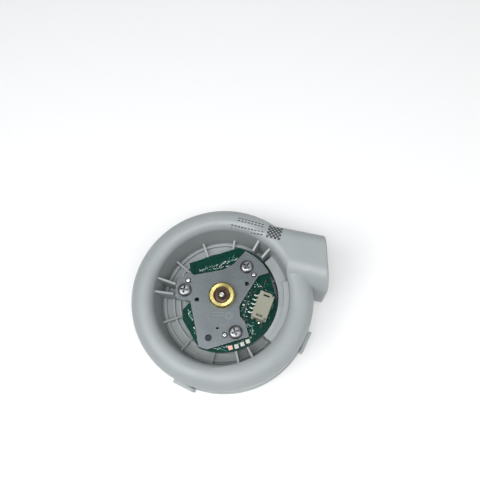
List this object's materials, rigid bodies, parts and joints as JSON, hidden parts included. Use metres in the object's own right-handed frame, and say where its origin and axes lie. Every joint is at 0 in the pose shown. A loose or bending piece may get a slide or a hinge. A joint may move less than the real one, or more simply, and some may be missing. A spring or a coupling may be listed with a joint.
{
  "type": "centrifugal suction blower",
  "caption": "Compact centrifugal suction blower: round scroll casing, side duct, and a brushless motor sunk in the casing under a steel plate and a green circuit board.",
  "frame": {"origin": "on the rotor axis, in the lower face of the inlet collar", "axes": "+Z along the rotor axis towards the motor side; the outlet mouth faces +X; the duct lies on the +Y side"},
  "size_m": [0.0883, 0.0832, 0.0385],
  "materials": {
    "casing_plastic": "fine matt moulding texture",
    "seal_foam": "closed-cell foam",
    "plate_steel": "stamped, zinc-coated",
    "screw_steel": "nickel-plated",
    "pin_steel": "ground",
    "brass": "turned",
    "bearing_steel": "ground and polished",
    "spring_steel": "drawn wire",
    "lamination_steel": "stacked laminations",
    "insulator_plastic": "moulded",
    "copper_wire": "enamelled",
    "magnet": "bonded ferrite",
    "impeller_plastic": "glass-filled nylon",
    "board_laminate": "green solder mask",
    "header_plastic": "cream nylon",
    "contact_tin": "tinned",
    "chip_black": "epoxy",
    "capacitor_ceramic": "ceramic"
  },
  "bodies": {
    "housing": {"motor_side_shell": "casing_plastic", "inlet_side_shell": "casing_plastic", "inlet_seal": "seal_foam", "motor_plate": "plate_steel", "motor_screws": "screw_steel", "locating_pins": "pin_steel", "circuit_board": "board_laminate", "bearing_holder": "brass", "preload_washer": "spring_steel", "upper_bearing_outer_ring": "bearing_steel", "upper_bearing_shields": "bearing_steel", "lower_bearing_outer_ring": "bearing_steel", "lower_bearing_shields": "bearing_steel", "stator_core": "lamination_steel", "upper_insulator": "insulator_plastic", "lower_insulator": "insulator_plastic", "stator_windings": "copper_wire", "winding_leads": "copper_wire", "hall_sensors": "chip_black", "header_housing": "header_plastic", "header_contacts": "contact_tin", "header_solder_tabs": "contact_tin", "test_pads": "contact_tin", "driver_chip": "chip_black", "power_transistors": "chip_black", "chip_capacitors": "capacitor_ceramic", "chip_resistors": "chip_black"},
    "rotor": {"rotor_shaft": "bearing_steel", "shaft_clip": "spring_steel", "upper_bearing_inner_ring": "bearing_steel", "lower_bearing_inner_ring": "bearing_steel", "rotor_cup": "plate_steel", "magnet_ring": "magnet", "rotor_bush": "brass", "impeller": "impeller_plastic", "impeller_shroud": "impeller_plastic", "impeller_insert": "brass"},
    "upper_ball_set": {"upper_bearing_balls": "bearing_steel", "upper_bearing_cage": "brass"},
    "lower_ball_set": {"lower_bearing_balls": "bearing_steel", "lower_bearing_cage": "brass"}
  },
  "joints": [
    {"name": "rotor_spin", "type": "hinge", "parent": "housing", "child": "rotor", "pos_m": [0, 0, 0.02], "axis": [0, 0, -1], "continuous": true},
    {"name": "upper_ball_spin", "type": "hinge", "parent": "housing", "child": "upper_ball_set", "pos_m": [0, 0, 0.0313], "axis": [0, 0, -1], "continuous": true},
    {"name": "lower_ball_spin", "type": "hinge", "parent": "housing", "child": "lower_ball_set", "pos_m": [0, 0, 0.0195], "axis": [0, 0, -1], "continuous": true}
  ],
  "couplings": [
    {"joint": "upper_ball_spin", "follows": "rotor_spin", "ratio": 0.4},
    {"joint": "lower_ball_spin", "follows": "rotor_spin", "ratio": 0.4}
  ]
}
